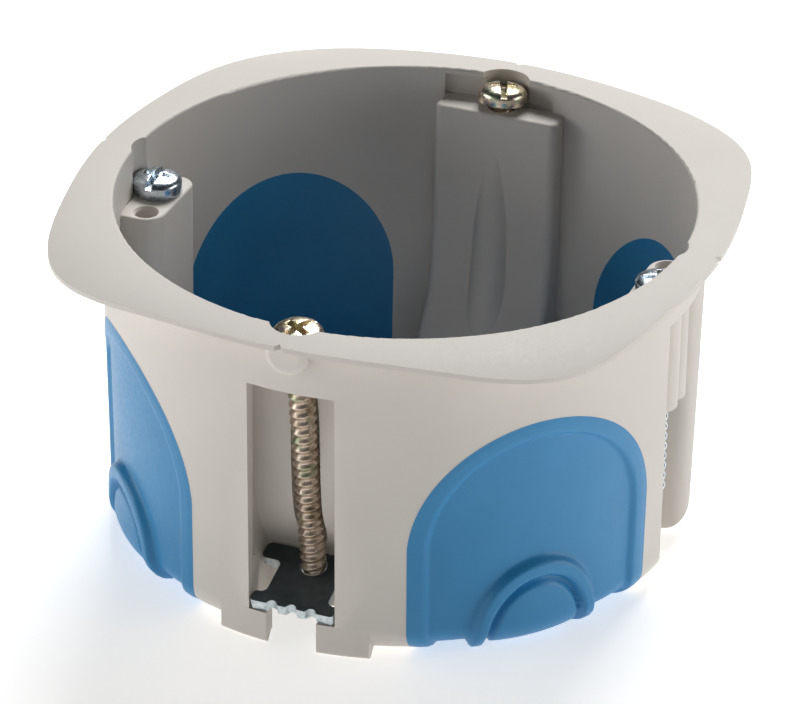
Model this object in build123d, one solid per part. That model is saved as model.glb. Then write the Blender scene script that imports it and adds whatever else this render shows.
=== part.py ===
from build123d import *
import math
import os

# Flush mounting box for hollow walls. Millimetres, +Z up.
# Origin: centre of the box at the underside of its feet.
# The claws are on the Y axis, the device screws on the X axis.

# ---- driving dimensions ----
HEIGHT = 40.0            # feet underside to rim
WALL = 1.4               # wall and floor thickness
R_RIM = 33.67            # outer wall radius at the rim
DRAFT = 0.0192           # wall radius lost per mm downwards
Z_FLOOR = 0.4            # floor underside
R_CORNER = 3.5           # outer bottom corner
SCREW_PITCH = 60.0       # distance between the device screws
LEDGE_Z = 34.45          # seat of the device screw heads
BOSS_X = 26.95           # inner face of the device screw bosses
CLAW_LEDGE_Z = 36.7      # seat of the claw screw heads
PIVOT_Y = 31.0           # claw screw head centre
PIVOT_Z = 37.25
TILT = 8.8               # parked tilt of a claw screw, degrees
SWING = 6.9              # swing of a claw screw about its head, degrees
SLOT_HALF = 5.05         # half width of the claw slot
SLOT_TOP = 32.5
TAB_Z = 3.85             # top of the tabs under the claw
MEM_DIR = 42.2           # direction of a membrane's middle, degrees from X
PANEL_STEP = 0.5         # membrane panel below its border


def wall_r(z):
    return R_RIM - DRAFT * (HEIGHT - z)


def cup(d, ztop):
    """Solid drafted cup body, its outside moved inwards by d."""
    zf = Z_FLOOR + d
    rb = wall_r(zf) - d
    f = Polygon((0, zf), (rb, zf), (wall_r(ztop) - d, ztop), (0, ztop), align=None)
    v = f.vertices().sort_by_distance((rb, zf, 0))[0]
    f = fillet(v, max(R_CORNER - d, 0.6))
    return revolve(Plane.XZ * f, Axis.Z)


def box(x0, x1, y0, y1, z0, z1):
    return Pos((x0 + x1) / 2, (y0 + y1) / 2, (z0 + z1) / 2) * Box(x1 - x0, y1 - y0, z1 - z0)


def rod(p, ang, r, s0, s1):
    """Cylinder about the line through p that leans ang degrees towards +Y."""
    return Pos(*p) * Rot(-ang, 0, 0) * Pos(0, 0, (s0 + s1) / 2) * Cylinder(r, s1 - s0)


def up(sketch, h):
    """Prism of a flat outline, h upwards."""
    return extrude(sketch, amount=h, dir=(0, 0, 1))


half_turn = Rot(0, 0, 180)

# ---- cup and flange ----
shell_skin = cup(0, HEIGHT - 0.8) - cup(WALL, HEIGHT + 1)


def dome(r):
    return HEIGHT - (29.3 - math.sqrt(29.3 ** 2 - (r - 32.27) ** 2))


# flange section: domed top, thinner towards the edge, small round at the inner lip
lip_r = R_RIM - WALL - DRAFT * 0.3
with BuildSketch(Plane.XZ) as flange_sec:
    with BuildLine():
        top = Spline([(r, dome(r)) for r in (lip_r + 0.3, 34.5, 36.5, 38.5, 40.5, 42.5)], tangents=[(1, -0.01), (1, -0.37)])
        low = Spline([(42.5, dome(42.5) - 0.46), (41.2, dome(41.2) - 0.5), (38.5, dome(38.5) - 0.56), (36.6, dome(36.6) - 0.6), (34.6, 38.98), (33.4, 38.6)])
        Line(top @ 1, low @ 0)
        Line(low @ 1, (lip_r - DRAFT * 1.1, 38.6))
        Line((lip_r - DRAFT * 1.1, 38.6), (lip_r, HEIGHT - 0.3))
        ThreePointArc((lip_r, HEIGHT - 0.3), (lip_r + 0.0879, HEIGHT - 0.0879), top @ 0)
    make_face()
flange_ring = revolve(flange_sec.sketch, Axis.Z)


def flange_r(a):
    return 38.304 - 2.189 * math.cos(4 * a) + 0.5315 * math.cos(8 * a) - 0.0725 * math.cos(12 * a)


pts = [(flange_r(math.radians(a)) * math.cos(math.radians(a)), flange_r(math.radians(a)) * math.sin(math.radians(a))) for a in range(0, 360, 5)]
with BuildSketch(Plane.XY) as outline:
    with BuildLine():
        Spline(pts, periodic=True)
    make_face()
flange = flange_ring & up(Pos(0, 0, 36) * outline.sketch, 5)
for a in (0, 90, 180, 270):
    notch = up(Polygon((36.02, 0), (37.2, 0.95), (37.2, -0.95), align=None), 5)
    flange = flange - Rot(0, 0, a) * Pos(0, 0, 36) * notch
try:
    rim_edges = [e for e in flange.edges() if (e.center().X ** 2 + e.center().Y ** 2) > 35.9 ** 2 and e.length > 5]
    flange = fillet(rim_edges, 0.17)
except Exception:
    pass

shell = shell_skin + flange
shell_a = shell

# ---- claw housings, drawn at +Y ----
front_pts = [(28.42, CLAW_LEDGE_Z), (27.97, 28.5), (27.78, 20.5), (27.45, 17.2), (26.95, 14.4), (26.15, 12.4), (25.1, 10.6), (24.15, 9.2), (23.4, 7.9), (22.95, 6.4), (22.8, 5.0)]
with BuildSketch(Plane.YZ) as pil_sec:
    with BuildLine():
        s = Spline(front_pts, tangents=[(-0.02, -1), (0, -1)])
        Polyline(s @ 1, (22.8, Z_FLOOR + 0.2), (31.7, Z_FLOOR + 0.2), (31.7, CLAW_LEDGE_Z), s @ 0)
    make_face()
pil = extrude(pil_sec.sketch, 7.45, both=True)
try:
    pe = [e for e in pil.edges() if abs(abs(e.center().X) - 7.45) < 0.02 and e.center().Y < 28.6]
    pil = fillet(pe, 0.85)
except Exception:
    pass
try:
    te = [e for e in pil.edges() if abs(e.center().Z - CLAW_LEDGE_Z) < 0.01 and e.center().Y < 31]
    pil = fillet(te, 0.4)
except Exception:
    pass
pil = pil & cup(0.5, HEIGHT)
axis_up = TILT
p0 = (0, PIVOT_Y, PIVOT_Z)
# ridge over the screw channel, running out to a point near the ledge
ridge = Pos(*p0) * Rot(-axis_up, 0, 0) * (Pos(0, 0, -20.25) * Cone(2.45, 2.0, 30.5) + Pos(0, 0, -4.0) * Cone(2.0, 0.8, 2.0))
ridge = ridge & box(-4, 4, 20, 31.6, 1.0, CLAW_LEDGE_Z) & cup(0.5, HEIGHT)
bump = Pos(0, 33.2, 37.55) * Rot(90, 0, 0) * Cylinder(2.45, 3.2)
try:
    bump = fillet([e for e in bump.edges() if e.center().Y > 34], 0.85)
except Exception:
    pass
bump = (bump & box(-3, 3, 30, 36, 34, 38.95)) + box(-2.45, 2.45, 31.6, 34.0, 37.55, 38.95)
foot_sec = Polygon((31.4, 0.95), (32.2, 0.0), (32.5, 0.0), (32.78, 0.12), (32.9, 0.4), (33.0, 6.0), (31.4, 6.0), align=None)
foot_ring = revolve(Plane.XZ * foot_sec, Axis.Z)
feet = foot_ring & (box(-8.7, 8.7, 25, 35, -0.1, 6.1))
housing = pil + ridge + feet + bump

back_pts = [(28.95, SLOT_TOP), (28.9, 26.0), (28.72, 20.5), (28.4, 17.0), (27.8, 14.2), (27.0, 12.4), (26.0, 10.6), (25.2, 9.4), (24.45, 8.4), (23.95, 7.4), (23.65, 6.3), (23.55, 5.2)]
with BuildSketch(Plane.YZ) as cav_sec:
    with BuildLine():
        s = Spline(back_pts, tangents=[(-0.005, -1), (0, -1)])
        Polyline(s @ 1, (23.55, -1.0), (31.0, -1.0), (31.0, TAB_Z), (31.45, TAB_Z), (31.45, SLOT_TOP), s @ 0)
    make_face()
cavity = extrude(cav_sec.sketch, 6.3, both=True)
slot = box(-SLOT_HALF, SLOT_HALF, 30.8, 36, TAB_Z, SLOT_TOP)
try:
    slot = fillet(slot.edges().filter_by(Axis.Y).group_by(Axis.Z)[-1], 0.15)
except Exception:
    pass
gap = box(-2.95, 2.95, 30.8, 36, -1, TAB_Z + 0.5)
channel = rod(p0, axis_up, 1.7, -34.2, 0.6)
# open trough below the slot top, the channel's own width
channel = channel + Pos(*p0) * Rot(-axis_up, 0, 0) * Pos(0, 2.0, -19.525) * Box(3.4, 4.0, 29.35)
for k in (0.25, 0.5, 0.75, 1.0):
    channel = channel + rod(p0, axis_up - SWING * k, 1.7, -16.0, 0.6)
recess = Pos(0, PIVOT_Y, CLAW_LEDGE_Z + 3) * Cylinder(3.08, 6)
recess = recess + (Pos(0, 0, 38) * Cylinder(32.75, 2 * (38 - CLAW_LEDGE_Z)) & box(-7.35, 5.95, 28, 34, CLAW_LEDGE_Z, 39.3))
housing_cut = cavity + slot + gap + channel + recess
rib_sec = Polygon((29.9, 1.0), (31.8, 1.0), (31.8, 10.0), (31.2, 9.9), (30.6, 9.6), (30.15, 9.1), (29.9, 8.5), align=None)
ribs = Pos(SLOT_HALF, 0, 0) * extrude(Plane.YZ * rib_sec, 1.6)
ribs = ribs + mirror(ribs, Plane.YZ)

# ---- device screw bosses, drawn at +X ----
boss = box(BOSS_X, 31.8, -4.4, 7.1, Z_FLOOR + 0.2, LEDGE_Z)
be = boss.edges().filter_by(Axis.Z).group_by(Axis.X)[0]
boss = fillet(be.sort_by(Axis.Y)[0], 1.9)
be = boss.edges().filter_by(Axis.Z).filter_by(lambda e: e.center().Y > 7.0 and e.center().X < 28)
boss = fillet(be, 2.35)
try:
    te = [e for e in boss.edges() if abs(e.center().Z - LEDGE_Z) < 0.01 and e.center().X < 30.5]
    boss = fillet(te, 0.3)
except Exception:
    pass
boss = boss & cup(0.5, HEIGHT)
with BuildSketch(Plane.XY) as pocket_sec:
    with BuildLine():
        pa = Spline([(30.2, 6.0), (31.1, 6.15), (31.75, 6.6), (32.15, 7.3), (32.38, 8.3), (32.45, 9.8)], tangents=[(1, 0), (0, 1)])
        pb = Spline([(30.2, -3.2), (31.2, -3.3), (32.0, -3.65), (32.6, -4.3), (32.95, -5.2), (33.05, -6.8)], tangents=[(1, 0), (0, -1)])
        Polyline(pa @ 1, (36, 9.8), (36, -6.8), pb @ 1)
        Polyline(pb @ 0, (28.4, -3.2), (28.4, 6.0), pa @ 0)
    make_face()
pocket = Pos(0, 0, -1) * up(pocket_sec.sketch, 34.3)
try:
    pocket = fillet(pocket.edges().filter_by(Axis.Z).group_by(Axis.X)[0], 0.8)
except Exception:
    pass
tubes = Pos(30, 0, 27.1) * Cylinder(2.45, 13.8) + Pos(29.85, 5.15, 26.45) * Cylinder(1.85, 15.5)
tubes = tubes & box(27.5, 33, -4, 6.9, 18.5, 34)
bores = Pos(30, 0, 27) * Cylinder(1.55, 16) + Pos(29.1, 5.2, 27) * Cylinder(1.25, 16) + Pos(29.1, 5.2, LEDGE_Z - 0.15) * Cone(1.25, 1.5, 0.4)
head_room = Pos(30, 0, LEDGE_Z + 3.5) * Cylinder(2.9, 7)

# ---- entry membranes ----
arch_c = 13.4
arch_r = 15.3
arch_in = 14.05


def entry_zone(sx, sy, off, ylim, ra=arch_r, lim=(14.3, 13.2), rc=5.0):
    """Zone of one entry: arch seen from the outside, cut by two upright planes, down and under the corner."""
    a = math.degrees(math.atan2(sy * math.sin(math.radians(MEM_DIR)), sx * math.cos(math.radians(MEM_DIR))))
    # the half towards the claw housing is a narrower ellipse, the other half a circle
    hi = lim[0] - off
    side = sx * sy
    half = Pos(side * 20, 15) * Rectangle(40, 60)
    sk = (Pos(0, arch_c) * Circle(ra - off) - half) + (Pos(0, arch_c) * Ellipse(hi, ra - off) & half)
    sk = sk + Pos(side * (hi - ra + off) / 2, arch_c / 2 - 2) * Rectangle(hi + ra - off, arch_c + 4)
    # upright side towards the device screw, with the arch corner rounded
    lo = lim[1] - off if ylim > 9 else 20
    sk = sk & Pos(side * (hi - lo) / 2, 15) * Rectangle(hi + lo, 50)
    corners = [v for v in sk.vertices() if v.Y > arch_c + 0.3 and abs(v.X + side * lo) < 0.01]
    if corners:
        sk = fillet(corners, rc)
    prism = extrude(sk, 30)
    # sketch x -> sideways, sketch y -> up, extrusion -> outwards
    plane = Plane(origin=(0, 0, 0), x_dir=(-math.sin(math.radians(a)), math.cos(math.radians(a)), 0), z_dir=(math.cos(math.radians(a)), math.sin(math.radians(a)), 0))
    prism = plane * Pos(0, 0, 16) * prism
    bx = box(12.6 + off, 50, ylim + off, 50, -2, 40)
    if sx < 0:
        bx = mirror(bx, Plane.YZ)
    if sy < 0:
        bx = mirror(bx, Plane.XZ)
    z = prism & bx
    return z - Pos(0, 0, 0) * Cylinder(23.2 + off, 80)


def entry_axis(sx, sy):
    a = math.atan2(sy * math.sin(math.radians(MEM_DIR)), sx * math.cos(math.radians(MEM_DIR)))
    c = R_CORNER * math.sqrt(0.5)
    r = wall_r(3.9) - R_CORNER + c
    return (r * math.cos(a), r * math.sin(a), Z_FLOOR + R_CORNER - c), (math.cos(a), math.sin(a), -1.0)


def about(sx, sy, r, l0, l1):
    p, d = entry_axis(sx, sy)
    return Plane(origin=p, z_dir=d) * Pos(0, 0, (l0 + l1) / 2) * Cylinder(r, l1 - l0)


outer_layer = cup(-0.02, HEIGHT) - cup(PANEL_STEP, HEIGHT + 1)
ring_layer = (cup(-0.42, 30) - cup(PANEL_STEP + 0.1, 31)) & box(-50, 50, -50, 50, 0.03, 30)
disc_layer = (cup(-0.1, 30) - cup(PANEL_STEP + 0.1, 31)) & box(-50, 50, -50, 50, 0.2, 30)

membranes = {}
for name, sx, sy in (("membrane_back_right", 1, 1), ("membrane_back_left", -1, 1), ("membrane_front_left", -1, -1), ("membrane_front_right", 1, -1)):
    ylim = 10.9 if sx * sy > 0 else 7.6
    zone = entry_zone(sx, sy, 0.0, ylim)
    inner = entry_zone(sx, sy, 2.0, ylim, rc=3.2)
    # the opening is wider in the outer half of the wall than in the inner half
    zone_in = entry_zone(sx, sy, 0.0, ylim, arch_in, (13.1, 12.1), 4.0)
    cutter = ((cup(-0.6, 36) - cup(WALL / 2, 37)) & zone) + ((cup(WALL / 2, 36) - cup(WALL + 0.6, 37)) & zone_in)
    m = shell_skin & cutter
    m = m - ((outer_layer & inner) - about(sx, sy, 5.3, -6, 6))
    tube = about(sx, sy, 7.9, -5, 4) - about(sx, sy, 6.2, -6, 6)
    m = m + (ring_layer & tube & inner) + (disc_layer & about(sx, sy, 5.3, -5, 4))
    membranes[name] = m
    shell = shell - cutter

shell_b = shell
shell_c = shell_b + housing + half_turn * housing
shell_d = shell_c + boss + half_turn * boss
shell_e = shell_d - housing_cut - half_turn * housing_cut
shell_f = shell_e - pocket - half_turn * pocket
shell_g = shell_f + tubes + half_turn * tubes
shell_h = shell_g + ribs + half_turn * ribs
shell = shell_h - bores - half_turn * bores - head_room - half_turn * head_room

# ---- device screws ----


def cross(depth, top, width, reach):
    return Pos(0, 0, top - depth / 2) * (Box(width, reach, depth) + Box(reach, width, depth))


dev_sec = Polygon((0, 0), (2.66, 0), (2.8, 0.15), (2.8, 1.3), (2.66, 1.7), (2.2, 2.05), (1.4, 2.24), (0, 2.3), align=None)
dev = revolve(Plane.XZ * dev_sec, Axis.Z) + Pos(0, 0, -13.0) * Cylinder(1.45, 26.2)
dev = fillet([e for e in dev.edges() if abs(e.center().Z + 26.1) < 0.01 and e.geom_type == GeomType.CIRCLE], 0.35)
dev = dev - Rot(0, 0, 55) * (Pos(0, 0, 2.0) * Box(0.75, 7, 0.9) + cross(1.7, 2.35, 0.75, 2.9))
device_right = Pos(SCREW_PITCH / 2, 0, LEDGE_Z) * dev
device_left = half_turn * device_right

# ---- claw screws ----
cs_sec = Polygon((0, 0), (2.72, 0), (2.87, 0.16), (2.87, 1.1), (2.72, 1.55), (2.3, 1.9), (1.5, 2.13), (0, 2.2), align=None)
cs = revolve(Plane.XZ * cs_sec, Axis.Z) + Pos(0, 0, -15.75) * Cylinder(1.45, 31.7)
cs = fillet([e for e in cs.edges() if abs(e.center().Z + 31.6) < 0.01 and e.geom_type == GeomType.CIRCLE], 0.35)
cs = cs - Rot(0, 0, 20) * (Pos(0, 0, 1.85) * Box(0.8, 7, 1.0) + cross(1.6, 2.25, 0.8, 3.0))
claw_screw_back = Pos(*p0) * Rot(-TILT, 0, 0) * cs
claw_screw_front = half_turn * claw_screw_back

# ---- claws, drawn flat about the screw hole and then tipped ----
flat = Pos(0, 5.97) * Rectangle(9.8, 1.56) + Pos(0, 2.6) * Rectangle(7.2, 6.2) + Pos(0, -0.85) * Rectangle(12.2, 2.4)
inner_corners = [v for v in flat.vertices() if abs(abs(v.X) - 3.6) < 0.01]
flat = fillet(inner_corners, 0.7)
rear_corners = [v for v in flat.vertices() if abs(abs(v.X) - 6.1) < 0.01]
flat = fillet(rear_corners, 0.7)
front_corners = [v for v in flat.vertices() if abs(abs(v.X) - 4.9) < 0.01]
flat = fillet(front_corners, 0.45)
for x in (-2.28, 0, 2.28):
    flat = flat - Pos(x, 6.75) * Circle(0.58)
lobe_corners = [v for v in flat.vertices() if abs(v.Y - 6.75) < 0.01 and abs(v.X) < 3.2]
flat = fillet(lobe_corners, 0.3)
plate = Pos(0, 0, -1.25) * up(flat, 1.25)
plate_tilt = 15.14
q = (0, 26.36, 6.96)
claw_back = Pos(*q) * Rot(-plate_tilt, 0, 0) * plate
claw_back = claw_back - rod(p0, axis_up, 1.55, -36, -24)
claw_front = half_turn * claw_back

# ---- export ----
os.makedirs("parts", exist_ok=True)
nodes = {
    "box_shell": shell,
    "claw_screw_front": claw_screw_front,
    "claw_screw_back": claw_screw_back,
    "claw_front": claw_front,
    "claw_back": claw_back,
    "device_screw_left": device_left,
    "device_screw_right": device_right,
}
nodes.update(membranes)
for name, solid in nodes.items():
    export_step(solid, "parts/" + name + ".step")
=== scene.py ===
import math

import bmesh
import bpy
import numpy as np
from mathutils import Matrix, Vector


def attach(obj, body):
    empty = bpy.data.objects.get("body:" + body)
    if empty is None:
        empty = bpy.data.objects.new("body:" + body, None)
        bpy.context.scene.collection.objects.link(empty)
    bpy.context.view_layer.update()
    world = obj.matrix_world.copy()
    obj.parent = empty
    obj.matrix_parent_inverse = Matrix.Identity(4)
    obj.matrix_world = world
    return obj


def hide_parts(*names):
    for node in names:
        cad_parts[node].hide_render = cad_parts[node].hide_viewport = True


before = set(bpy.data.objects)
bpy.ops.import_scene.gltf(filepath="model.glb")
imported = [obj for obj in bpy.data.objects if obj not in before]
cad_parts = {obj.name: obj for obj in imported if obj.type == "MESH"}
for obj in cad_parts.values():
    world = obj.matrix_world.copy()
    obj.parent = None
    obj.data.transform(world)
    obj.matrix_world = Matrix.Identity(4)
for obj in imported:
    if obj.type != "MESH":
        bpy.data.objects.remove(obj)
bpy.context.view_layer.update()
MM = 0.001


# ------------------------------------------------------------------ helpers
def smooth(o, angle=35.0):
    me = o.data
    for p in me.polygons:
        p.use_smooth = True
    bm = bmesh.new()
    bm.from_mesh(me)
    lim = math.radians(angle)
    for e in bm.edges:
        e.smooth = not (len(e.link_faces) == 2 and e.calc_face_angle(0.0) > lim)
    bm.to_mesh(me)
    bm.free()


def new_object(name, verts, faces):
    me = bpy.data.meshes.new(name)
    me.from_pydata([Vector(v) * MM for v in verts], [], faces)
    me.update()
    o = bpy.data.objects.new(name, me)
    bpy.context.scene.collection.objects.link(o)
    return o


def apply_modifiers(o):
    dg = bpy.context.evaluated_depsgraph_get()
    me = bpy.data.meshes.new_from_object(o.evaluated_get(dg))
    o.modifiers.clear()
    o.data = me


def lathe(name, profile, n=96):
    """Closed turned body about Z; profile runs from the lower axis point to the upper one, in mm."""
    verts, faces, rows = [], [], []
    for r, z in profile:
        if r < 1e-6:
            rows.append([len(verts)])
            verts.append((0, 0, z))
        else:
            rows.append(list(range(len(verts), len(verts) + n)))
            for i in range(n):
                a = 2 * math.pi * i / n
                verts.append((r * math.cos(a), r * math.sin(a), z))
    for a, b in zip(rows, rows[1:]):
        for i in range(n):
            j = (i + 1) % n
            if len(a) == 1:
                faces.append((a[0], b[j], b[i]))
            elif len(b) == 1:
                faces.append((a[i], a[j], b[0]))
            else:
                faces.append((a[i], a[j], b[j], b[i]))
    return new_object(name, verts, faces)


def prism(name, pts_low, pts_high, z0, z1):
    n = len(pts_low)
    verts = [(x, y, z0) for x, y in pts_low] + [(x, y, z1) for x, y in pts_high]
    faces = [tuple(range(n - 1, -1, -1)), tuple(range(n, 2 * n))]
    for i in range(n):
        j = (i + 1) % n
        faces.append((i, j, n + j, n + i))
    return new_object(name, verts, faces)


def cut(o, cutter):
    m = o.modifiers.new("cut", "BOOLEAN")
    m.operation = "DIFFERENCE"
    m.solver = "EXACT"
    m.object = cutter
    apply_modifiers(o)
    bpy.data.objects.remove(cutter)


def threaded(name, z_low, z_high, r_core, r_out, pitch, n=40):
    """Helical thread about Z from z_low up to z_high, mm, with a pointed lower run-out and a closed surface."""
    prof = [(0.0, r_core), (0.06, r_core), (0.30, r_core + 0.55 * (r_out - r_core)), (0.44, r_out - 0.04), (0.50, r_out), (0.56, r_out), (0.62, r_out - 0.04), (0.76, r_core + 0.55 * (r_out - r_core)), (0.95, r_core)]
    P = len(prof)
    turns = int((z_high - z_low) / pitch) + 3
    rows = turns * P
    verts, faces = [], []
    z_start = z_low - 1.5 * pitch

    def radius(z, r):
        k = min(1.0, max(0.0, (z - z_low) / (0.9 * pitch)))
        r = min(r, r_core - 0.22 + (r_out - r_core + 0.22) * (0.25 + 0.75 * k))
        kt = min(1.0, max(0.0, (z_high - z) / (0.8 * pitch)))
        return r_core + (r - r_core) * kt if r > r_core else r

    for k in range(rows + 1):
        turn, j = divmod(k, P)
        u, r = prof[j]
        for i in range(n + 1):
            z = z_start + pitch * (turn + u + i / n)
            zc = min(max(z, z_low), z_high)
            rr = radius(zc, r)
            a = 2 * math.pi * i / n
            verts.append((rr * math.cos(a), rr * math.sin(a), zc))
    w = n + 1
    for k in range(rows):
        for i in range(n):
            faces.append((k * w + i, k * w + i + 1, (k + 1) * w + i + 1, (k + 1) * w + i))
    me = bpy.data.meshes.new(name)
    me.from_pydata([Vector(v) * MM for v in verts], [], faces)
    bm = bmesh.new()
    bm.from_mesh(me)
    bmesh.ops.remove_doubles(bm, verts=bm.verts, dist=2e-6)
    bmesh.ops.dissolve_degenerate(bm, dist=1e-6, edges=bm.edges)
    # flat ends
    loops = [e for e in bm.edges if len(e.link_faces) == 1]
    if loops:
        bmesh.ops.holes_fill(bm, edges=loops, sides=0)
    bmesh.ops.recalc_face_normals(bm, faces=bm.faces)
    bm.to_mesh(me)
    bm.free()
    o = bpy.data.objects.new(name, me)
    bpy.context.scene.collection.objects.link(o)
    return o


def join(a, b):
    bm = bmesh.new()
    bm.from_mesh(a.data)
    bm.from_mesh(b.data)
    bm.to_mesh(a.data)
    bm.free()
    bpy.data.objects.remove(b)
    return a


def place(o, matrix):
    o.data.transform(matrix)
    o.data.update()


# ------------------------------------------------------------------ materials
def material(name):
    m = bpy.data.materials.new(name)
    m.use_nodes = True
    nt = m.node_tree
    bsdf = nt.nodes["Principled BSDF"]
    return m, nt, bsdf


def coords(nt):
    return nt.nodes.new("ShaderNodeTexCoord").outputs["Object"]


def noise(nt, co, scale, detail=3.0, rough=0.5):
    n = nt.nodes.new("ShaderNodeTexNoise")
    n.inputs["Scale"].default_value = scale
    n.inputs["Detail"].default_value = detail
    n.inputs["Roughness"].default_value = rough
    nt.links.new(co, n.inputs["Vector"])
    return n.outputs["Fac"]


def ramp(nt, fac, stops):
    r = nt.nodes.new("ShaderNodeValToRGB")
    while len(r.color_ramp.elements) < len(stops):
        r.color_ramp.elements.new(0.5)
    for el, (pos, col) in zip(r.color_ramp.elements, stops):
        el.position = pos
        el.color = (col[0], col[1], col[2], 1.0) if not isinstance(col, float) else (col, col, col, 1.0)
    nt.links.new(fac, r.inputs["Fac"])
    return r.outputs["Color"]


def remap(nt, fac, a, b, lo=0.0, hi=1.0):
    m = nt.nodes.new("ShaderNodeMapRange")
    m.inputs["From Min"].default_value = lo
    m.inputs["From Max"].default_value = hi
    m.inputs["To Min"].default_value = a
    m.inputs["To Max"].default_value = b
    nt.links.new(fac, m.inputs["Value"])
    return m.outputs["Result"]


def bump(nt, bsdf, height, strength, distance):
    b = nt.nodes.new("ShaderNodeBump")
    b.inputs["Strength"].default_value = strength
    b.inputs["Distance"].default_value = distance
    nt.links.new(height, b.inputs["Height"])
    nt.links.new(b.outputs["Normal"], bsdf.inputs["Normal"])


def grey_plastic():
    m, nt, b = material("moulded_grey")
    co = coords(nt)
    big = noise(nt, co, 60.0, 3.0, 0.55)
    nt.links.new(ramp(nt, big, [(0.3, (0.645, 0.606, 0.56)), (0.7, (0.68, 0.64, 0.592))]), b.inputs["Base Color"])
    fine = noise(nt, co, 2600.0, 4.0, 0.6)
    nt.links.new(remap(nt, fine, 0.5, 0.66, 0.3, 0.7), b.inputs["Roughness"])
    b.inputs["Specular IOR Level"].default_value = 0.28
    bump(nt, b, fine, 0.16, 0.00004)
    return m


def blue_soft():
    m, nt, b = material("soft_blue")
    co = coords(nt)
    big = noise(nt, co, 90.0, 3.0, 0.55)
    nt.links.new(ramp(nt, big, [(0.3, (0.018, 0.21, 0.445)), (0.7, (0.026, 0.24, 0.49))]), b.inputs["Base Color"])
    fine = noise(nt, co, 1800.0, 4.0, 0.6)
    nt.links.new(remap(nt, fine, 0.36, 0.5, 0.3, 0.7), b.inputs["Roughness"])
    b.inputs["Specular IOR Level"].default_value = 0.5
    bump(nt, b, fine, 0.08, 0.00003)
    return m


def zinc_yellow():
    m, nt, b = material("yellow_zinc")
    co = coords(nt)
    film = noise(nt, co, 420.0, 3.0, 0.6)
    nt.links.new(ramp(nt, film, [(0.25, (0.64, 0.54, 0.30)), (0.42, (0.80, 0.74, 0.50)), (0.52, (0.86, 0.68, 0.60)), (0.60, (0.72, 0.76, 0.54)), (0.8, (0.42, 0.56, 0.38))]), b.inputs["Base Color"])
    b.inputs["Metallic"].default_value = 1.0
    fine = noise(nt, co, 2600.0, 3.0, 0.6)
    nt.links.new(remap(nt, fine, 0.2, 0.34, 0.3, 0.7), b.inputs["Roughness"])
    bump(nt, b, fine, 0.1, 0.00002)
    return m


def zinc_bright():
    m, nt, b = material("bright_zinc")
    co = coords(nt)
    film = noise(nt, co, 300.0, 3.0, 0.6)
    nt.links.new(ramp(nt, film, [(0.3, (0.50, 0.58, 0.64)), (0.7, (0.66, 0.72, 0.77))]), b.inputs["Base Color"])
    b.inputs["Metallic"].default_value = 1.0
    fine = noise(nt, co, 2600.0, 3.0, 0.6)
    nt.links.new(remap(nt, fine, 0.18, 0.32, 0.3, 0.7), b.inputs["Roughness"])
    bump(nt, b, fine, 0.08, 0.00002)
    return m


def shaded_thread_zinc():
    """Darker, browner and rougher copy of the yellow zinc: painted shade on the claw-screw threads down in the
    housing.
    """
    m, nt, b = material("yellow_zinc_thread_shaded")
    co = coords(nt)
    film = noise(nt, co, 480.0, 4.0, 0.65)
    nt.links.new(ramp(nt, film, [(0.28, (0.26, 0.19, 0.12)), (0.42, (0.56, 0.46, 0.35)), (0.52, (0.70, 0.57, 0.48)), (0.60, (0.46, 0.44, 0.30)), (0.72, (0.24, 0.30, 0.20))]), b.inputs["Base Color"])
    b.inputs["Metallic"].default_value = 0.9
    fine = noise(nt, co, 2600.0, 3.0, 0.6)
    nt.links.new(remap(nt, fine, 0.26, 0.46, 0.3, 0.7), b.inputs["Roughness"])
    bump(nt, b, fine, 0.2, 0.00003)
    return m


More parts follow.
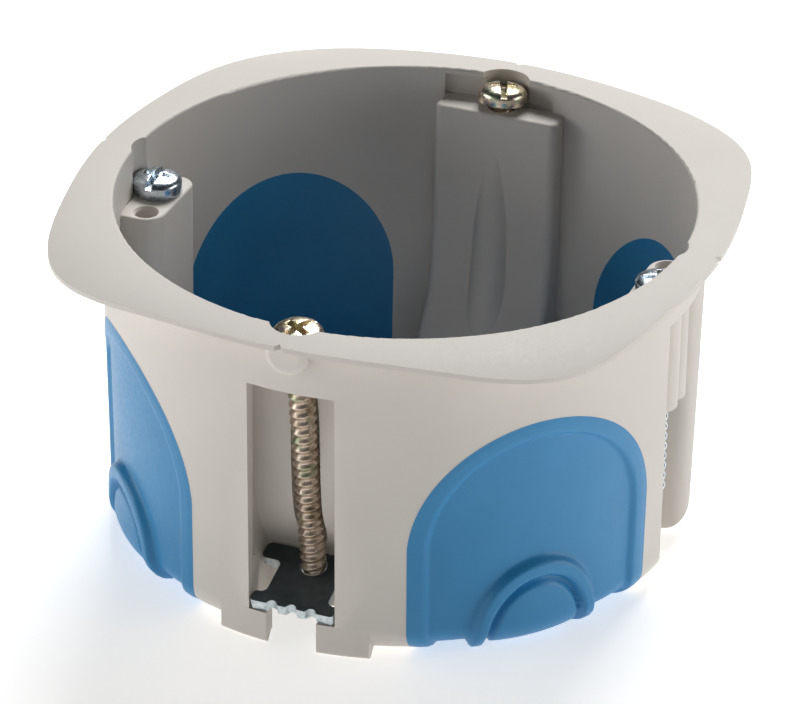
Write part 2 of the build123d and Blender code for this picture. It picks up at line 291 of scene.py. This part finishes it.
def claw_steel():
    """Pale zinc on the sheared side faces, painted dark reflection on the top faces, painted shadow in the bore
    round the screw.
    """
    m, nt, b = material("claw_steel")
    co = coords(nt)
    film = noise(nt, co, 260.0, 3.0, 0.6)
    # painted dark reflection for the top faces; the same colour is the painted shadow in the bore
    painted_dark_top_and_bore = ramp(nt, film, [(0.3, (0.058, 0.076, 0.09)), (0.7, (0.118, 0.148, 0.17))])
    speck = noise(nt, co, 1900.0, 4.0, 0.7)
    pale = ramp(nt, speck, [(0.34, (0.26, 0.32, 0.35)), (0.45, (0.60, 0.68, 0.71)), (0.7, (0.78, 0.84, 0.87))])
    geo = nt.nodes.new("ShaderNodeNewGeometry")
    sep = nt.nodes.new("ShaderNodeSeparateXYZ")
    nt.links.new(geo.outputs["Normal"], sep.inputs["Vector"])
    # mask by normal Z: pale on the side faces, painted dark reflection on the top faces
    painted_shade_split = remap(nt, sep.outputs["Z"], 1.0, 0.0, 0.55, 0.8)
    # painted shadow: the bore round the screw stays dark
    pos = nt.nodes.new("ShaderNodeSeparateXYZ")
    nt.links.new(co, pos.inputs["Vector"])
    ay = nt.nodes.new("ShaderNodeMath")
    ay.operation = "ABSOLUTE"
    nt.links.new(pos.outputs["Y"], ay.inputs[0])
    join_xy = nt.nodes.new("ShaderNodeCombineXYZ")
    nt.links.new(pos.outputs["X"], join_xy.inputs["X"])
    nt.links.new(ay.outputs[0], join_xy.inputs["Y"])
    dist = nt.nodes.new("ShaderNodeVectorMath")
    dist.operation = "DISTANCE"
    dist.inputs[1].default_value = (0, 0.0264, 0)
    nt.links.new(join_xy.outputs[0], dist.inputs[0])
    outside_bore_shade = remap(nt, dist.outputs["Value"], 0.0, 1.0, 0.0022, 0.0025)
    both = nt.nodes.new("ShaderNodeMath")
    both.operation = "MULTIPLY"
    nt.links.new(painted_shade_split, both.inputs[0])
    nt.links.new(outside_bore_shade, both.inputs[1])
    painted_shade_split = both.outputs[0]
    mix = nt.nodes.new("ShaderNodeMix")
    mix.data_type = "RGBA"
    nt.links.new(painted_shade_split, mix.inputs["Factor"])
    nt.links.new(painted_dark_top_and_bore, mix.inputs["A"])
    nt.links.new(pale, mix.inputs["B"])
    nt.links.new(mix.outputs["Result"], b.inputs["Base Color"])
    nt.links.new(remap(nt, painted_shade_split, 0.55, 0.75), b.inputs["Metallic"])
    fine = noise(nt, co, 1500.0, 3.0, 0.6)
    nt.links.new(remap(nt, fine, 0.3, 0.46, 0.3, 0.7), b.inputs["Roughness"])
    bump(nt, b, fine, 0.15, 0.00003)
    return m


GREY, BLUE, YELLOW, BRIGHT, CLAW = grey_plastic(), blue_soft(), zinc_yellow(), zinc_bright(), claw_steel()
# the claw-screw threads get this darker copy of the yellow zinc as painted shade
SHADED_THREAD = shaded_thread_zinc()


def dress(o, mat):
    o.data.materials.clear()
    o.data.materials.append(mat)


for node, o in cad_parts.items():
    if node == "box_shell":
        dress(o, GREY)
    elif node.startswith("membrane"):
        dress(o, BLUE)
    elif node.startswith("claw_screw"):
        dress(o, YELLOW)
    elif node.startswith("device_screw"):
        dress(o, BRIGHT)
    else:
        dress(o, CLAW)


# ------------------------------------------------------------------ screws
def arm(width, reach, tip):
    w, r, t = width / 2, reach / 2, tip
    return [(-r, -w), (r, -w), (r, w), (-r, w)]


def head_with_recess(name, profile, slot_w, slot_depth, cross_w, cross_reach, cross_depth, top, turn):
    head = lathe(name, profile)
    c = prism("cutter", arm(slot_w * 0.9, 8, 0), arm(slot_w * 1.1, 8, 0), top - slot_depth, top + 0.5)
    place(c, Matrix.Rotation(math.radians(turn), 4, "Z"))
    cut(head, c)
    for k in (0, 90):
        c = prism("cutter", arm(cross_w * 0.8, cross_reach * 0.55, 0), arm(cross_w * 1.15, cross_reach * 1.1, 0), top - cross_depth, top + 0.3)
        place(c, Matrix.Rotation(math.radians(turn + k), 4, "Z"))
        cut(head, c)
    bv = head.modifiers.new("edge", "BEVEL")
    bv.width = 0.00006
    bv.segments = 2
    bv.limit_method = "ANGLE"
    bv.angle_limit = math.radians(40)
    apply_modifiers(head)
    return head


def arc(r0, z0, r1, z1, n, bulge):
    """Points of a domed line from (r0,z0) to (r1,z1), bulged outwards."""
    out = []
    for i in range(n + 1):
        t = i / n
        out.append((r0 + (r1 - r0) * t + bulge * math.sin(math.pi * t) * 0.6, z0 + (z1 - z0) * t + bulge * math.sin(math.pi * t)))
    return out


pan = [(0, 0), (2.55, 0), (2.73, 0.06), (2.8, 0.2), (2.8, 1.28), (2.75, 1.5), (2.61, 1.72), (2.33, 1.92), (1.9, 2.08), (1.3, 2.2), (0.7, 2.28), (0, 2.3)]
dome_head = [(0, 0), (2.62, 0), (2.8, 0.07), (2.87, 0.22), (2.87, 1.05), (2.82, 1.28), (2.68, 1.52), (2.42, 1.74), (2.0, 1.93), (1.4, 2.09), (0.7, 2.18), (0, 2.2)]
pan_low = [(0, 0), (2.55, 0), (2.73, 0.06), (2.8, 0.2), (2.8, 0.95), (2.75, 1.12), (2.61, 1.28), (2.33, 1.42), (1.9, 1.54), (1.3, 1.63), (0.7, 1.68), (0, 1.7)]


def make_screw(name, node, body, mat, thread_mat, profile, thread_len, pitch, matrix, slot_turn, top):
    head = head_with_recess(name, profile, 0.8, 0.95, 0.8, 3.2, 1.8, top, slot_turn)
    thread = threaded(name + "_thread", -thread_len, 0.15, 1.12, 1.47, pitch)
    dress(head, mat)
    dress(thread, thread_mat)
    smooth(head, 30)
    smooth(thread, 50)
    head.data.materials.append(thread_mat)
    for f in thread.data.polygons:
        f.material_index = 1
    o = join(head, thread)
    place(o, matrix)
    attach(o, body)
    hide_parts(node)
    return o


def T(x, y, z):
    return Matrix.Translation(Vector((x, y, z)) * MM)


TILT = math.radians(8.8)
back = T(0, 31.0, 37.25) @ Matrix.Rotation(-TILT, 4, "X")
front = Matrix.Rotation(math.pi, 4, "Z") @ back
make_screw("claw_screw_front_thread", "claw_screw_front", "claw_screw_front", YELLOW, SHADED_THREAD, dome_head, 31.6, 1.17, front, 62, 2.2)
make_screw("claw_screw_back_thread", "claw_screw_back", "claw_screw_back", YELLOW, SHADED_THREAD, dome_head, 31.6, 1.17, back, 111, 2.2)
make_screw("device_screw_left_thread", "device_screw_left", "device_screw_left", BRIGHT, BRIGHT, pan, 26.1, 1.27, T(-30, 0, 34.45), 91, 2.3)
make_screw("device_screw_right_thread", "device_screw_right", "device_screw_right", BRIGHT, BRIGHT, pan_low, 26.1, 1.27, T(30, 0, 34.45), 20, 1.7)

# ------------------------------------------------------------------ claws: broken stamped edges
for node in ("claw_front", "claw_back"):
    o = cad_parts[node]
    bv = o.modifiers.new("edge", "BEVEL")
    bv.width = 0.00011
    bv.segments = 3
    bv.limit_method = "ANGLE"
    bv.angle_limit = math.radians(40)

# ------------------------------------------------------------------ soft entry membranes
R_RIM, DRAFT, Z_FLOOR, R_CORNER, WALL = 33.67, 0.0192, 0.4, 3.5, 1.4
FLOOR_R = 23.2
ARCH_C = 13.4


def wall_r(z):
    return R_RIM - DRAFT * (40.0 - z)


def section(d, ra, n_floor, n_corner, n_wall, n_arch, grow):
    """Rows (r, z, normal r, normal z, run from the floor edge) of the body surface moved inwards by d."""
    rc = R_CORNER - d
    zf = Z_FLOOR + d
    rb = wall_r(zf) - d
    cr = rb + DRAFT * rc - rc * math.sqrt(1 + DRAFT * DRAFT)
    cz = zf + rc
    delta = math.atan(DRAFT)
    rows = []
    for i in range(n_floor):
        r = FLOOR_R - grow + (cr - FLOOR_R + grow) * i / n_floor
        rows.append((r, zf, 0.0, -1.0, r - FLOOR_R))
    for i in range(n_corner):
        a = -math.pi / 2 + (math.pi / 2 - delta) * i / n_corner
        rows.append((cr + rc * math.cos(a), cz + rc * math.sin(a), math.cos(a), math.sin(a), cr - FLOOR_R + rc * (a + math.pi / 2)))
    z0 = cz - rc * math.sin(delta)
    nr, nz = math.cos(delta), -math.sin(delta)
    base = cr - FLOOR_R + rc * (math.pi / 2 - delta)
    for i in range(n_wall):
        z = z0 + (ARCH_C - z0) * i / n_wall
        rows.append((wall_r(z) - d, z, nr, nz, base + z - z0))
    for i in range(n_arch + 1):
        z = ARCH_C + (ra + grow) * math.sin(math.radians(88.6) * i / n_arch)
        rows.append((wall_r(z) - d, z, nr, nz, base + z - z0))
    return np.array(rows)


def inside(P, a, sx, sy, ylim, ra, lim, rf):
    """Distance of the points inside the entry outline; the arch corners are rounded by rf."""
    t = np.array([-math.sin(a), math.cos(a), 0.0])
    sig = P @ t
    zz = np.maximum(P[..., 2] - ARCH_C, 0.0)
    rho = np.sqrt(sig ** 2 + zz ** 2) + 1e-9
    circle = ra - rho
    # the half towards the claw housing is a narrower ellipse
    w = lim[0]
    g = np.sqrt((sig / w) ** 2 + (zz / ra) ** 2) + 1e-9
    oval = (1 - g) * g / (np.sqrt((sig / w ** 2) ** 2 + (zz / ra ** 2) ** 2) + 1e-9)
    d1 = np.where(sx * sy * sig > 0, oval, circle)
    out = d1.copy()
    sides = [(-sx * sy, lim[1])] if ylim > 9 else []
    for s, l in sides:
        d2 = l - s * sig
        f = np.minimum(circle, d2)
        cg = np.clip(s * sig / rho, -0.999, 0.999)
        e1, e2 = rf - circle, rf - d2
        v = np.sqrt(np.maximum(e1 ** 2 + e2 ** 2 - 2 * e1 * e2 * cg, 0) / (1 - cg ** 2))
        rounded = (e1 > 0) & (e2 > 0) & (e1 - e2 * cg > 0) & (e2 - e1 * cg > 0) & (P[..., 2] > ARCH_C)
        out = np.where(s * sig > 0, np.minimum(out, np.where(rounded, rf - v, f)), out)
    return np.minimum(out, np.minimum(sx * P[..., 0] - 12.6, sy * P[..., 1] - ylim))


def step(x, a, b):
    t = np.clip((x - a) / (b - a), 0, 1)
    return t * t * (3 - 2 * t)


def skin(rows, a, sx, sy, ylim, ra, lims, rf, n, grow):
    """Points of one face of a membrane: each row runs between its two limits."""
    m = len(rows)
    mid = a * np.ones(m)
    lim = []
    for sgn in (-1, 1):
        lo, hi = np.zeros(m), np.full(m, math.radians(48))
        for _ in range(30):
            h = (lo + hi) / 2
            ang = mid + sgn * h
            P = np.stack([rows[:, 0] * np.cos(ang), rows[:, 0] * np.sin(ang), rows[:, 1]], -1)
            ok = inside(P, a, sx, sy, ylim, ra, lims, rf) > -grow
            lo, hi = np.where(ok, h, lo), np.where(ok, hi, h)
        lim.append(sgn * lo)
    k = np.arange(n + 1) / n
    ang = mid[:, None] + lim[0][:, None] + (lim[1] - lim[0])[:, None] * k
    return ang


def membrane(name, node, sx, sy):
    ylim = 10.9 if sx * sy > 0 else 7.6
    a = math.atan2(sy * math.sin(math.radians(42.2)), sx * math.cos(math.radians(42.2)))
    n = 120
    counts = (30, 30, 36, 60)
    grids = []
    for face in (0, 1):
        d = 0.0 if face == 0 else WALL + 0.02
        ra, lims, rf = (15.3, (14.3, 13.2), 5.0) if face == 0 else (14.05, (13.1, 12.1), 4.0)
        grow = 0.05
        rows = section(d, ra, *counts, grow)
        ang = skin(rows, a, sx, sy, ylim, ra, lims, rf, n, grow)
        r, z = rows[:, 0][:, None], rows[:, 1][:, None]
        P = np.stack([r * np.cos(ang), r * np.sin(ang), z + 0 * ang], -1)
        if face == 0:
            f = inside(P, a, sx, sy, ylim, ra, lims, rf)
            f = np.minimum(f, rows[:, 4][:, None] + 0 * f)
            # conduit ring and disc about a line through the bottom corner
            c = R_CORNER * math.sqrt(0.5)
            pr = wall_r(3.9) - R_CORNER + c
            ar = a * (41.5 / 42.2) if abs(a) < 2 else math.copysign(math.pi - (math.pi - abs(a)) * (41.5 / 42.2), a)
            A = np.array([pr * math.cos(ar), pr * math.sin(ar), Z_FLOOR + R_CORNER - c + 0.25])
            D = np.array([math.cos(ar), math.sin(ar), -1.0]) / math.sqrt(2)
            q = P - A
            ax = q @ D
            rho = np.sqrt(np.maximum((q ** 2).sum(-1) - ax ** 2, 0))
            ring = step(rho, 7.8, 7.15) * step(rho, 5.7, 6.25)
            disc = step(rho, 5.6, 5.05) * (0.42 + 0.38 * np.sqrt(np.maximum(1 - (rho / 5.7) ** 2, 0)))
            groove = step(rho, 6.15, 5.85) * step(rho, 5.35, 5.65)
            panel = -0.5 + 0.98 * ring + disc - 0.12 * groove
            band = 0.02 + 0.06 * step(f, 0.1, 0.6) * step(f, 1.9, 1.3)
            h = panel + (band - panel) * step(f, 2.25, 1.7)
            P = P + h[..., None] * np.stack([rows[:, 2][:, None] * np.cos(ang), rows[:, 2][:, None] * np.sin(ang), rows[:, 3][:, None] + 0 * ang], -1)
            P[..., 2] = np.maximum(P[..., 2], 0.03)
        grids.append(P)
    m, w = grids[0].shape[0], n + 1
    verts = np.concatenate([g.reshape(-1, 3) for g in grids])
    faces = []
    off = m * w
    for i in range(m - 1):
        for j in range(n):
            p, q2 = i * w + j, i * w + j + 1
            faces.append((p, q2, q2 + w, p + w))
            faces.append((off + p, off + p + w, off + q2 + w, off + q2))
    for i in range(m - 1):
        for j in (0, n):
            p = i * w + j
            quad = (p, p + w, off + p + w, off + p)
            faces.append(quad if j == 0 else quad[::-1])
    for j in range(n):
        for i in (0, m - 1):
            p = i * w + j
            quad = (p, off + p, off + p + 1, p + 1)
            faces.append(quad if i == 0 else quad[::-1])
    o = new_object(name, [tuple(float(c) for c in v) for v in verts], faces)
    bm = bmesh.new()
    bm.from_mesh(o.data)
    bmesh.ops.recalc_face_normals(bm, faces=bm.faces)
    bm.to_mesh(o.data)
    bm.free()
    smooth(o, 60)
    dress(o, BLUE)
    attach(o, "box")
    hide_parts(node)


for node, sx, sy in (("membrane_back_right", 1, 1), ("membrane_back_left", -1, 1), ("membrane_front_left", -1, -1), ("membrane_front_right", 1, -1)):
    membrane(node + "_skin", node, sx, sy)

# ------------------------------------------------------------------ floor, light, camera
floor = new_object("floor", [(-4000, -4000, -0.02), (4000, -4000, -0.02), (4000, 4000, -0.02), (-4000, 4000, -0.02)], [(0, 1, 2, 3)])
fm, fnt, fb = material("pale_floor")
fco = coords(fnt)
fnt.links.new(ramp(fnt, noise(fnt, fco, 3.0), [(0.0, (0.93, 0.93, 0.93)), (1.0, (0.95, 0.95, 0.95))]), fb.inputs["Base Color"])
fb.inputs["Roughness"].default_value = 0.8
fb.inputs["Emission Color"].default_value = (1, 0.985, 0.96, 1)
fb.inputs["Emission Strength"].default_value = 0.58
fb.inputs["Specular IOR Level"].default_value = 0.1
dress(floor, fm)


def area(name, loc, size, energy, target=(0, 0, 20), color=(1, 1, 1)):
    l = bpy.data.lights.new(name, "AREA")
    l.shape = "RECTANGLE"
    l.size, l.size_y = size[0] * MM, size[1] * MM
    l.energy = energy
    l.color = color
    o = bpy.data.objects.new(name, l)
    bpy.context.scene.collection.objects.link(o)
    o.location = Vector(loc) * MM
    d = (Vector(target) - Vector(loc)).normalized()
    o.rotation_euler = d.to_track_quat("-Z", "Y").to_euler()
    return o


area("top", (-70, 470, 590), (420, 380), 6.1)
area("left", (-560, -300, 150), (420, 260), 1.35)
area("right", (600, 130, 150), (420, 260), 1.2)
area("front", (-240, -620, 160), (420, 260), 0.08)

world = bpy.data.worlds.new("studio")
world.use_nodes = True
bg = world.node_tree.nodes["Background"]
bg.inputs["Color"].default_value = (0.8, 0.93, 1.1, 1)
bg.inputs["Strength"].default_value = 0.035
bpy.context.scene.world = world

cam = bpy.data.cameras.new("camera")
cam.lens = 224.5
cam.sensor_width = 36.0
cam.sensor_fit = "HORIZONTAL"
cam.clip_start = 0.01
cam.clip_end = 50.0
co = bpy.data.objects.new("camera", cam)
bpy.context.scene.collection.objects.link(co)
EL, AZ, ROLL, DIST = math.radians(29.405), math.radians(21.029), math.radians(0.8465), 561.02
va = math.pi / 2 + AZ
vd = Vector((math.cos(va) * math.cos(EL), math.sin(va) * math.cos(EL), -math.sin(EL)))
right = Vector((math.sin(va), -math.cos(va), 0))
up = right.cross(vd)
r2 = right * math.cos(ROLL) + up * math.sin(ROLL)
u2 = up * math.cos(ROLL) - right * math.sin(ROLL)
aim = right * -0.3348 + up * -0.3192 + Vector((0, 0, 20.45))
loc = (aim - vd * DIST) * MM
co.matrix_world = Matrix(((r2.x, u2.x, -vd.x, loc.x), (r2.y, u2.y, -vd.y, loc.y), (r2.z, u2.z, -vd.z, loc.z), (0, 0, 0, 1)))
bpy.context.scene.camera = co
bpy.context.scene.view_settings.view_transform = "Standard"
